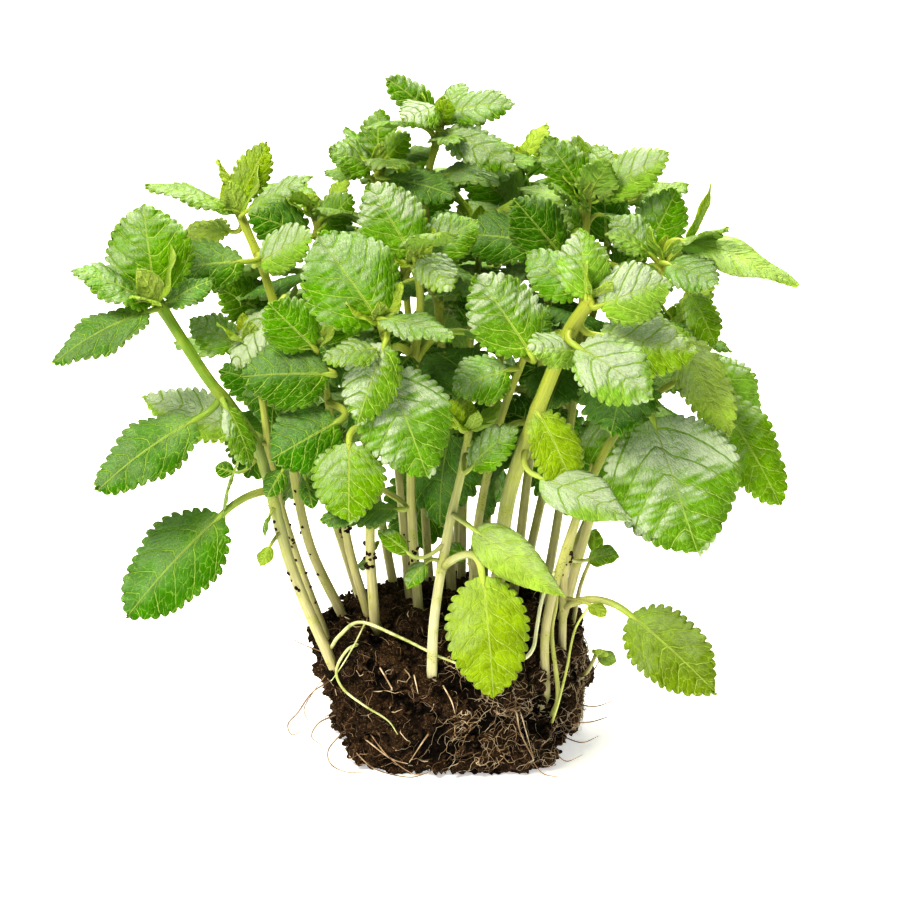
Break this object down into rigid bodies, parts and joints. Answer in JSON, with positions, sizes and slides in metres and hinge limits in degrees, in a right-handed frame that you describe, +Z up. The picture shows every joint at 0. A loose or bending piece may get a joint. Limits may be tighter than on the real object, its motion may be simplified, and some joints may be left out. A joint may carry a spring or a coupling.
{
  "type": "lemon balm plant",
  "caption": "Clump of young lemon balm with leafy stems of toothed leaves, lifted from its pot and standing on its bare, root-bound lump of soil.",
  "frame": {"origin": "middle of the flat underside of the root ball", "axes": "+Z up, +X to the right and +Y to the back as seen from the front"},
  "size_m": [0.211, 0.1678, 0.2037],
  "materials": {
    "foliage": "soft and slightly hairy",
    "soil": "crumbly, with fine roots"
  },
  "bodies": {
    "root": {"root_ball": "soil", "stem_01": "foliage", "stem_02": "foliage", "stem_03": "foliage", "stem_04": "foliage", "stem_05": "foliage", "stem_06": "foliage", "stem_07": "foliage", "stem_08": "foliage", "stem_09": "foliage", "stem_10": "foliage", "stem_11": "foliage", "stem_12": "foliage", "stem_13": "foliage", "stem_14": "foliage", "stem_15": "foliage", "stem_16": "foliage", "stem_17": "foliage", "stem_18": "foliage", "stem_19": "foliage", "stem_20": "foliage", "stem_21": "foliage", "stem_22": "foliage", "stem_23": "foliage", "stem_24": "foliage", "seedling_01": "foliage", "seedling_02": "foliage", "seedling_03": "foliage", "seedling_04": "foliage"}
  },
  "joints": []
}
